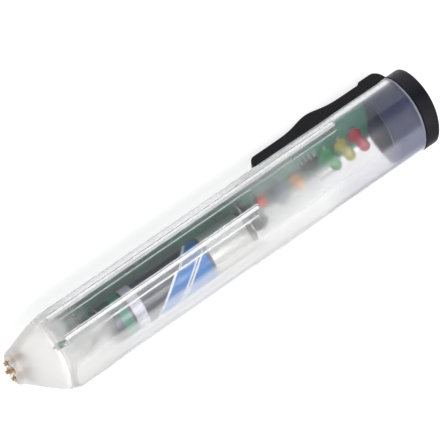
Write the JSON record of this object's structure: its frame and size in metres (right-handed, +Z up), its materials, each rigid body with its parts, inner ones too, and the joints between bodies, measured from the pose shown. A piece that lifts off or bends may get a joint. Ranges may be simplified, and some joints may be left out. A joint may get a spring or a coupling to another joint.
{
  "type": "component tester",
  "caption": "Pocket component tester: clear oval tube with sprung probes in a tapered nose, indicator lamps, an inner board with a cell, and a black plug cap with a pocket clip.",
  "frame": {"origin": "on the bench, below the middle of the tester's box, with the pocket clip underneath", "axes": "+X along the tube towards the probe tips, +Y to the side, +Z up towards the lamps"},
  "size_m": [0.1262, 0.0238, 0.0233],
  "materials": {
    "clear_plastic": "clear, partly frosted moulded plastic",
    "black_plastic": "satin black moulded plastic",
    "board_green": "solder mask",
    "cell_label": "printed sleeve in plain bands",
    "spring_steel": "nickel-plated wire",
    "nickel_sheet": "nickel-plated sheet",
    "green_lens": "tinted lamp epoxy",
    "yellow_lens": "tinted lamp epoxy",
    "red_lens": "tinted lamp epoxy",
    "tinned_wire": "tinned copper",
    "orange_epoxy": "dipped epoxy",
    "red_epoxy": "dipped epoxy",
    "blue_epoxy": "moulded box",
    "chip_black": "moulded epoxy with tinned legs",
    "resistor_beige": "lacquered body with tinned leads",
    "diode_glass": "glass body with tinned leads",
    "gold_plate": "gold-plated",
    "brass_barrel": "plain"
  },
  "bodies": {
    "tester_body": {"tube_shell": "clear_plastic", "circuit_board": "board_green", "battery_cell": "cell_label", "battery_spring": "spring_steel", "positive_contact": "nickel_sheet", "negative_contact": "nickel_sheet", "led_green": "green_lens", "led_yellow": "yellow_lens", "led_red": "red_lens", "orange_capacitor": "orange_epoxy", "red_capacitor": "red_epoxy", "box_capacitor": "blue_epoxy", "transistor": "chip_black", "controller_chip": "chip_black", "resistor_1": "resistor_beige", "resistor_2": "resistor_beige", "resistor_3": "resistor_beige", "diode_1": "diode_glass", "diode_2": "diode_glass", "probe_barrel_1": "brass_barrel", "probe_lead_1": "tinned_wire", "probe_barrel_2": "brass_barrel", "probe_lead_2": "tinned_wire", "probe_barrel_3": "brass_barrel", "probe_lead_3": "tinned_wire", "probe_barrel_4": "brass_barrel", "probe_lead_4": "tinned_wire"},
    "cap": {"end_cap": "black_plastic"},
    "clip": {"pocket_clip": "black_plastic"},
    "probe_1": {"probe_plunger_1": "gold_plate"},
    "probe_2": {"probe_plunger_2": "gold_plate"},
    "probe_3": {"probe_plunger_3": "gold_plate"},
    "probe_4": {"probe_plunger_4": "gold_plate"}
  },
  "joints": [
    {"name": "cap_pull", "type": "slide", "parent": "tester_body", "child": "cap", "axis": [-1, 0, 0], "range_m": [0, 0.03]},
    {"name": "clip_flex", "type": "hinge", "parent": "cap", "child": "clip", "pos_m": [-0.06015, 0, 0.0046], "axis": [0, 1, 0], "range_deg": [0, 4], "stiffness_Nm_per_rad": 2},
    {"name": "probe_press_1", "type": "slide", "parent": "tester_body", "child": "probe_1", "axis": [-1, 0, 0], "range_m": [0, 0.0006], "stiffness_N_per_m": 500},
    {"name": "probe_press_2", "type": "slide", "parent": "tester_body", "child": "probe_2", "axis": [-1, 0, 0], "range_m": [0, 0.0006], "stiffness_N_per_m": 500},
    {"name": "probe_press_3", "type": "slide", "parent": "tester_body", "child": "probe_3", "axis": [-1, 0, 0], "range_m": [0, 0.0006], "stiffness_N_per_m": 500},
    {"name": "probe_press_4", "type": "slide", "parent": "tester_body", "child": "probe_4", "axis": [-1, 0, 0], "range_m": [0, 0.0006], "stiffness_N_per_m": 500}
  ]
}
